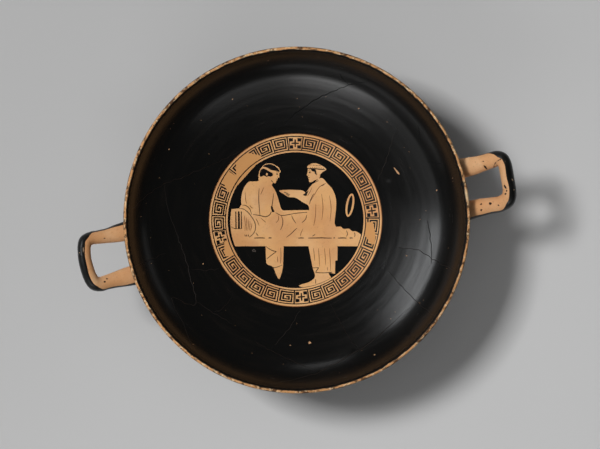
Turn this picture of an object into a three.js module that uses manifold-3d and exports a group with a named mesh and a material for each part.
// An Attic kylix: a wide, shallow drinking cup on a stemmed foot, with two upturned loop handles.
// Bowl, stem, foot and handles are thrown or rolled in clay, luted together and fired as one piece.
// Millimetres, +Z up. The origin is the centre of the foot's resting ring, and the handles lie along X.
import * as THREE from "three";
import { mergeVertices } from "three/addons/utils/BufferGeometryUtils.js";
import Module from "manifold-3d";

// Driving dimensions.
const HEIGHT = 90; // standing surface to the top of the lip
const RIM_RADIUS = 115; // outside of the lip
const LIP_THICKNESS = 2.6; // the lip is a half round of this width
const FOOT_RADIUS = 44;
const WAIST_RADIUS = 11.5; // the stem where it is slimmest
const WAIST_HEIGHT = 26;
const HANDLE_REACH = 147.3; // axis of the cup to the outside of a handle

// The inside of the bowl: a wide floor arc that runs without a break into a tighter wall arc.
const SHOULDER_RADIUS = 93.8; // where the floor becomes the wall
const SHOULDER_SLOPE = THREE.MathUtils.degToRad(26);
const WALL_ARC_RADIUS = 40;
const FLOOR_THICKNESS = 6.4; // at the axis; the wall thins evenly to the lip

// The foot: a disc with a stepped top, a rounded edge and a cone hollowed out below.
const FOOT_TOP = 9.4; // where the stem's flare ends
const FOOT_STEP_RADIUS = 39.4;
const FOOT_STEP_DEPTH = 0.9;
const FOOT_EDGE_TOP = 7.6;
const FOOT_EDGE_ROUND = 1.6;
const RING_INNER_RADIUS = 36.5; // the flat ring that the cup stands on ends here
const HOLLOW_HEIGHT = 31; // top of the cone inside the stem

// The handles. Each loop leaves the wall on two arms and turns up to a bar at the height of the lip.
const ROOT_REACH = 87; // the arms start inside the bowl and are trimmed flush with its inside
const ROOT_HEIGHT = 70.6;
const BAR_HEIGHT = 86.6; // centre of the bar
const BAR_HALF_WIDTH = 4.3;
const ARM_HALF_WIDTH = 6.3; // under the lip
const ARM_HALF_HEIGHT = 4.6;
const ROOT_FLARE = 2.6; // how much wider an arm grows, on each side, where it is luted to the wall
const FLARE_REACH = 100; // where the flare is widest
const FLARE_LENGTH = 5;
const HANDLES = [
  { side: 1, leftArm: 14.2, rightArm: 14.8 },
  { side: -1, leftArm: 15.9, rightArm: 14.1 },
];

// How finely the surfaces are cut.
const TURN_STEPS = 64;
const FLOOR_STEPS = 7;
const WALL_STEPS = 7;
const LIP_STEPS = 4;
const STEM_STEPS = 6;
const HANDLE_STEPS = 32;
const HANDLE_SIDES = 12;

const wasm = await Module();
wasm.setup();

const lipCentreRadius = RIM_RADIUS - LIP_THICKNESS / 2;
const lipCentreHeight = HEIGHT - LIP_THICKNESS / 2;
const floorArcRadius = SHOULDER_RADIUS / Math.sin(SHOULDER_SLOPE);
const lipInnerRadius = RIM_RADIUS - LIP_THICKNESS;
const lipSlope = Math.asin(Math.sin(SHOULDER_SLOPE) + (lipInnerRadius - SHOULDER_RADIUS) / WALL_ARC_RADIUS);
const shoulderRise = floorArcRadius * (1 - Math.cos(SHOULDER_SLOPE));
const wallRise = WALL_ARC_RADIUS * (Math.cos(SHOULDER_SLOPE) - Math.cos(lipSlope));
const floorHeight = lipCentreHeight - shoulderRise - wallRise;

// The bowl's inside at a given slope: its radius and height.
function insideAtSlope(slope) {
  if (slope <= SHOULDER_SLOPE) {
    return new THREE.Vector2(
      floorArcRadius * Math.sin(slope),
      floorHeight + floorArcRadius * (1 - Math.cos(slope)),
    );
  }
  return new THREE.Vector2(
    SHOULDER_RADIUS + WALL_ARC_RADIUS * (Math.sin(slope) - Math.sin(SHOULDER_SLOPE)),
    floorHeight + shoulderRise + WALL_ARC_RADIUS * (Math.cos(SHOULDER_SLOPE) - Math.cos(slope)),
  );
}

// The bowl's outside lies one wall thickness below the inside, square to it.
function outsideAtSlope(slope) {
  const inside = insideAtSlope(slope);
  const thickness = THREE.MathUtils.lerp(FLOOR_THICKNESS, LIP_THICKNESS, inside.x / lipInnerRadius);
  return new THREE.Vector2(inside.x + thickness * Math.sin(slope), inside.y - thickness * Math.cos(slope));
}

// Slopes from the axis, or from a given start, to the lip, with the wall cut more finely than the floor.
function slopes(start = 0) {
  const floor = Array.from({ length: FLOOR_STEPS }, (_, i) =>
    THREE.MathUtils.lerp(start, SHOULDER_SLOPE, i / FLOOR_STEPS),
  );
  const wall = Array.from({ length: WALL_STEPS + 1 }, (_, i) =>
    THREE.MathUtils.lerp(SHOULDER_SLOPE, lipSlope, i / WALL_STEPS),
  );
  return [...floor, ...wall];
}

function arc(centreX, centreY, radius, from, to, steps) {
  return new THREE.ArcCurve(centreX, centreY, radius, from, to, to < from).getPoints(steps);
}

function bezier(...corners) {
  const points = corners.map(([x, y]) => new THREE.Vector2(x, y));
  return new THREE.CubicBezierCurve(...points).getPoints(STEM_STEPS);
}

// Where the underside of the bowl starts to sweep down into the stem.
const sweepSlope = Math.asin(34 / floorArcRadius);
const sweepStart = outsideAtSlope(sweepSlope);

// The outline from the lip's outer edge down the wall, the stem and the foot, and up inside the foot to the axis.
function outerOutline() {
  const wall = slopes(sweepSlope).map(outsideAtSlope).reverse();
  const sweep = bezier(
    sweepStart.toArray(),
    [sweepStart.x - 14, sweepStart.y - 14 * Math.tan(sweepSlope)],
    [WAIST_RADIUS, WAIST_HEIGHT + 11],
    [WAIST_RADIUS, WAIST_HEIGHT],
  );
  const flare = bezier(
    [WAIST_RADIUS, WAIST_HEIGHT],
    [WAIST_RADIUS, WAIST_HEIGHT - 11],
    [FOOT_STEP_RADIUS - 18, FOOT_TOP + 0.8],
    [FOOT_STEP_RADIUS, FOOT_TOP - 0.6],
  );
  const edge = FOOT_RADIUS - FOOT_EDGE_ROUND;
  const step = new THREE.Vector2(FOOT_STEP_RADIUS + 0.3, FOOT_TOP - 0.6 - FOOT_STEP_DEPTH);
  const edgeTop = arc(edge, FOOT_EDGE_TOP - FOOT_EDGE_ROUND, FOOT_EDGE_ROUND, Math.PI / 2, 0, 3);
  const edgeBottom = arc(edge, FOOT_EDGE_ROUND, FOOT_EDGE_ROUND, 0, -Math.PI / 2, 3);
  const hollow = bezier(
    [RING_INNER_RADIUS, 0],
    [RING_INNER_RADIUS - 8, 5.5],
    [9, 6],
    [4.6, HOLLOW_HEIGHT - 5],
  );
  return [
    ...wall.slice(0, -1),
    ...sweep.slice(0, -1),
    ...flare,
    step,
    ...edgeTop,
    ...edgeBottom,
    ...hollow,
    new THREE.Vector2(2.6, HOLLOW_HEIGHT - 1),
    new THREE.Vector2(0, HOLLOW_HEIGHT),
  ];
}

// The closed half section of bowl, stem and foot, from the axis inside the bowl round to the axis under it.
function bodyProfile() {
  const inside = slopes().map(insideAtSlope);
  const lip = arc(lipCentreRadius, lipCentreHeight, LIP_THICKNESS / 2, Math.PI, 0, LIP_STEPS).slice(1);
  return [...inside, ...lip, ...outerOutline().slice(1)];
}

// A solid of revolution from a profile that starts and ends on the axis.
function turned(profile) {
  return solidOf(new THREE.LatheGeometry(profile, TURN_STEPS).rotateX(Math.PI / 2));
}

// A closed three.js geometry as a manifold-3d solid, its faces turned to point out.
function solidOf(geometry) {
  const bare = geometry.clone();
  bare.deleteAttribute("normal");
  bare.deleteAttribute("uv");
  const merged = mergeVertices(bare, 1e-4);
  const triangles = Array.from(merged.index.array);
  const whole = [];
  for (let i = 0; i < triangles.length; i += 3) {
    const [a, b, c] = triangles.slice(i, i + 3);
    if (a !== b && b !== c && c !== a) whole.push(a, b, c);
  }
  const made = manifoldOf(merged.attributes.position.array, whole);
  return made.volume() < 0 ? manifoldOf(merged.attributes.position.array, whole.reverse()) : made;
}

function manifoldOf(vertProperties, triangles) {
  return new wasm.Manifold(
    new wasm.Mesh({ numProp: 3, vertProperties, triVerts: Uint32Array.from(triangles) }),
  );
}

function geometryOf(solid) {
  const mesh = solid.getMesh();
  const geometry = new THREE.BufferGeometry();
  geometry.setAttribute("position", new THREE.BufferAttribute(new Float32Array(mesh.vertProperties), 3));
  geometry.setIndex(new THREE.BufferAttribute(mesh.triVerts, 1));
  return geometry;
}

// How high the middle of a handle lies at a given reach from the cup's axis: nearly level under the lip, steeper at the bar.
const barReach = HANDLE_REACH - BAR_HALF_WIDTH;
const lift = new THREE.CubicBezierCurve(
  new THREE.Vector2(ROOT_REACH, ROOT_HEIGHT),
  new THREE.Vector2(108, 72.6),
  new THREE.Vector2(133, 76.5),
  new THREE.Vector2(barReach, BAR_HEIGHT),
).getPoints(60);

function heightAtReach(reach) {
  const next = Math.max(1, lift.findIndex((point) => point.x >= reach));
  const [a, b] = reach >= barReach ? lift.slice(-2) : lift.slice(next - 1, next + 1);
  return THREE.MathUtils.mapLinear(reach, a.x, b.x, a.y, b.y);
}

// The middle line of a handle seen from above: out along one arm, round the bar and back along the other.
function loopInPlan(leftArm, rightArm) {
  const arm = (sign, offset) => [
    [ROOT_REACH, sign * (offset + 2)],
    [110, sign * (offset + 0.8)],
    [125, sign * offset],
    [134.6, sign * (offset - 0.4)],
    [141, sign * (offset - 5.2)],
  ];
  const points = [...arm(1, leftArm), [barReach, (leftArm - rightArm) / 2], ...arm(-1, rightArm).reverse()];
  return new THREE.CatmullRomCurve3(points.map(([x, y]) => new THREE.Vector3(x, y, 0)));
}

// One handle as a closed tube whose section is an oval that swells towards the wall.
function handleSolid({ side, leftArm, rightArm }) {
  const plan = loopInPlan(leftArm, rightArm);
  const middle = Array.from({ length: HANDLE_STEPS + 1 }, (_, i) => {
    const point = plan.getPointAt(i / HANDLE_STEPS);
    return new THREE.Vector3(point.x, point.y, heightAtReach(point.x));
  });
  const positions = [];
  middle.forEach((point, i) => {
    const before = middle[Math.max(0, i - 1)];
    const after = middle[Math.min(HANDLE_STEPS, i + 1)];
    const along = after.clone().sub(before).normalize();
    const rise = heightAtReach(point.x + 0.5) - heightAtReach(point.x - 0.5);
    const up = new THREE.Vector3(-rise, 0, 1).normalize();
    const across = up.clone().cross(along).normalize();
    const swell = ROOT_FLARE * Math.exp(-Math.max(0, point.x - FLARE_REACH) / FLARE_LENGTH);
    const share = THREE.MathUtils.smoothstep(point.x, 112, 138);
    const halfWidth = THREE.MathUtils.lerp(ARM_HALF_WIDTH, BAR_HALF_WIDTH, share) + swell;
    const halfHeight = THREE.MathUtils.lerp(ARM_HALF_HEIGHT, BAR_HALF_WIDTH, share) + swell / 3;
    for (let k = 0; k < HANDLE_SIDES; k++) {
      const angle = (k / HANDLE_SIDES) * Math.PI * 2;
      const corner = point
        .clone()
        .addScaledVector(across, halfWidth * Math.cos(angle))
        .addScaledVector(up, halfHeight * Math.sin(angle));
      positions.push(side * corner.x, side * corner.y, corner.z);
    }
  });
  const first = positions.length / 3;
  for (const end of [middle[0], middle[HANDLE_STEPS]]) positions.push(side * end.x, side * end.y, end.z);
  const triangles = [];
  for (let i = 0; i < HANDLE_STEPS; i++) {
    for (let k = 0; k < HANDLE_SIDES; k++) {
      const [a, b] = [i * HANDLE_SIDES + k, i * HANDLE_SIDES + ((k + 1) % HANDLE_SIDES)];
      triangles.push(a, b, a + HANDLE_SIDES, b, b + HANDLE_SIDES, a + HANDLE_SIDES);
    }
  }
  const last = HANDLE_STEPS * HANDLE_SIDES;
  for (let k = 0; k < HANDLE_SIDES; k++) {
    const next = (k + 1) % HANDLE_SIDES;
    triangles.push(first, next, k, first + 1, last + k, last + next);
  }
  const tube = new THREE.BufferGeometry();
  tube.setAttribute("position", new THREE.Float32BufferAttribute(positions, 3));
  tube.setIndex(triangles);
  return solidOf(tube);
}

// The space inside the bowl, open above, which trims the arms flush with the wall.
function bowlSpace() {
  const inside = slopes().map(insideAtSlope);
  const above = new THREE.Vector2(lipInnerRadius, HEIGHT + 10);
  return turned([...inside, above, new THREE.Vector2(0, above.y)]);
}

let cup = turned(bodyProfile());
const space = bowlSpace();
for (const handle of HANDLES) cup = cup.add(handleSolid(handle).subtract(space));

const blackGloss = new THREE.MeshStandardMaterial({ color: 0x14130f, roughness: 0.3, metalness: 0 });
const kylix = new THREE.Mesh(geometryOf(cup), blackGloss);
kylix.name = "kylix";

const group = new THREE.Group();
group.add(kylix);

export default group;
